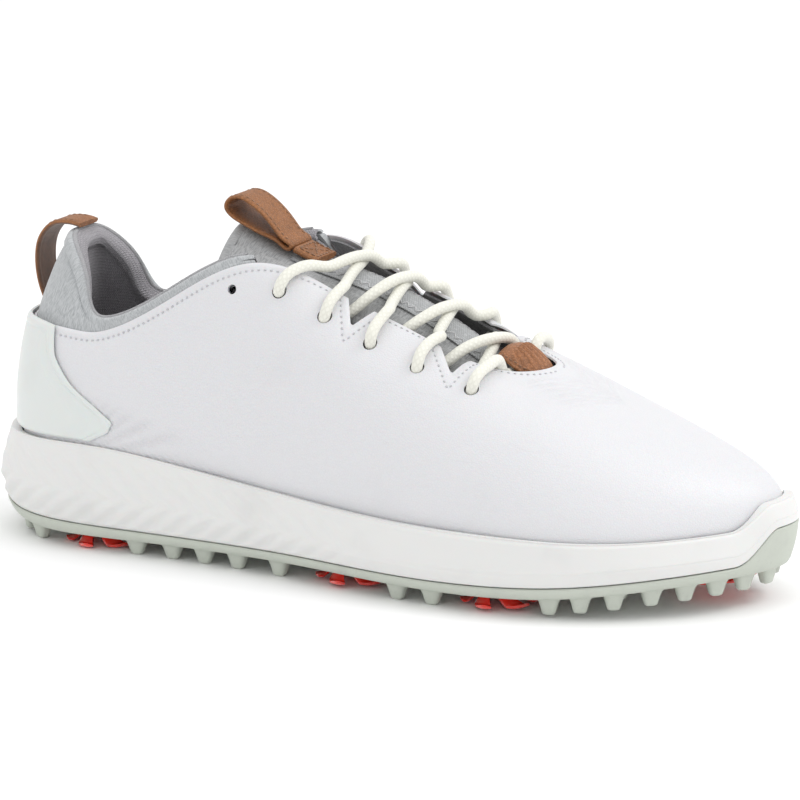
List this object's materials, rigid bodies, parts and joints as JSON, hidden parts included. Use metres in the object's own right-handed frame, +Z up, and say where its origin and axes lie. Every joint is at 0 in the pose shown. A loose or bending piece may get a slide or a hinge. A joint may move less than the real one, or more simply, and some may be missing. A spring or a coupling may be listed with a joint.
{
  "type": "golf shoe",
  "caption": "Laced low golf shoe for the right foot, with a leather upper, knitted tongue, foam midsole, lugged rubber outsole and twist-lock spikes.",
  "frame": {"origin": "on the ground, at the middle of the shoe's length and width", "axes": "+X towards the toe, +Z up, +Y towards the medial (inner) side of this right shoe"},
  "size_m": [0.304, 0.1074, 0.1286],
  "materials": {
    "leather_white": "full-grain leather with a soft sheen",
    "clip_white": "satin moulded plastic",
    "collar_knit": "knitted mesh",
    "binding_grey": "knitted binding",
    "backing_grey": "woven backing",
    "lining_knit": "dark knitted lining",
    "tongue_knit": "heathered knit",
    "ribbon_grey": "woven ribbon with cover stitching",
    "foam_grey": "open-cell foam",
    "stiffener_board": "pressed fibre board",
    "board_white": "stitched fibre board",
    "insole_grey": "brushed textile over foam",
    "leather_brown": "brown leather, stitched",
    "keeper_brown": "ribbed brown leather",
    "lace_white": "braided round lace",
    "aglet_clear": "clear plastic tip",
    "rubber_grey": "moulded rubber with lugs",
    "midsole_foam": "moulded foam with herringbone ridges",
    "shank_black": "stiff moulded plate",
    "receptacle_black": "moulded nylon",
    "spike_red": "translucent red moulded plastic"
  },
  "bodies": {
    "shoe": {"aglet_lateral": "aglet_clear", "aglet_medial": "aglet_clear", "collar_binding": "binding_grey", "collar_foam": "foam_grey", "collar_knit": "collar_knit", "eyestay_backing_lateral": "backing_grey", "eyestay_backing_medial": "backing_grey", "heel_clip": "clip_white", "heel_loop": "leather_brown", "heel_stiffener": "stiffener_board", "insole": "insole_grey", "lace": "lace_white", "lace_keeper": "keeper_brown", "lining": "lining_knit", "midsole": "midsole_foam", "outsole": "rubber_grey", "receptacle_ball_lateral": "receptacle_black", "receptacle_ball_medial": "receptacle_black", "receptacle_heel_lateral": "receptacle_black", "receptacle_heel_medial": "receptacle_black", "receptacle_toe": "receptacle_black", "receptacle_waist_lateral": "receptacle_black", "receptacle_waist_medial": "receptacle_black", "shank_plate": "shank_black", "strobel_board": "board_white", "toe_puff": "stiffener_board", "upper_leather": "leather_white"},
    "tongue": {"tongue_knit": "tongue_knit", "tongue_foam": "foam_grey", "tongue_lining": "lining_knit", "tongue_ribbon": "ribbon_grey", "tongue_loop_patch": "leather_brown"},
    "tongue_loop": {"tongue_loop": "leather_brown"},
    "spike_heel_lateral": {"spike_heel_lateral": "spike_red"},
    "spike_heel_medial": {"spike_heel_medial": "spike_red"},
    "spike_waist_lateral": {"spike_waist_lateral": "spike_red"},
    "spike_waist_medial": {"spike_waist_medial": "spike_red"},
    "spike_ball_lateral": {"spike_ball_lateral": "spike_red"},
    "spike_ball_medial": {"spike_ball_medial": "spike_red"},
    "spike_toe": {"spike_toe": "spike_red"}
  },
  "joints": [
    {"name": "tongue_fold", "type": "hinge", "parent": "shoe", "child": "tongue", "pos_m": [0.07, 0.0037, 0.062], "axis": [0, 1, 0], "range_deg": [-12, 0]},
    {"name": "tongue_loop_flex", "type": "hinge", "parent": "tongue", "child": "tongue_loop", "pos_m": [-0.03482, 0.0032, 0.11141], "axis": [0, 1, 0], "range_deg": [0, 20]},
    {"name": "spike_heel_lateral_twist", "type": "hinge", "parent": "shoe", "child": "spike_heel_lateral", "pos_m": [-0.102, -0.0183, 0.00541], "axis": [0.003, 0, -1], "range_deg": [0, 60]},
    {"name": "spike_heel_medial_twist", "type": "hinge", "parent": "shoe", "child": "spike_heel_medial", "pos_m": [-0.1, 0.0242, 0.00542], "axis": [0.0044, 0, -1], "range_deg": [0, 60]},
    {"name": "spike_waist_lateral_twist", "type": "hinge", "parent": "shoe", "child": "spike_waist_lateral", "pos_m": [0.003, -0.0278, 0.00617], "axis": [-0.0042, 0, -1], "range_deg": [0, 60]},
    {"name": "spike_waist_medial_twist", "type": "hinge", "parent": "shoe", "child": "spike_waist_medial", "pos_m": [0.008, 0.0232, 0.00615], "axis": [-0.0056, 0, -1], "range_deg": [0, 60]},
    {"name": "spike_ball_lateral_twist", "type": "hinge", "parent": "shoe", "child": "spike_ball_lateral", "pos_m": [0.061, -0.0338, 0.00607], "axis": [0.0254, 0, -0.9997], "range_deg": [0, 60]},
    {"name": "spike_ball_medial_twist", "type": "hinge", "parent": "shoe", "child": "spike_ball_medial", "pos_m": [0.065, 0.0342, 0.00618], "axis": [0.0372, 0, -0.9993], "range_deg": [0, 60]},
    {"name": "spike_toe_twist", "type": "hinge", "parent": "shoe", "child": "spike_toe", "pos_m": [0.124, 0.0082, 0.01141], "axis": [0.0922, 0, -0.9957], "range_deg": [0, 60]}
  ]
}
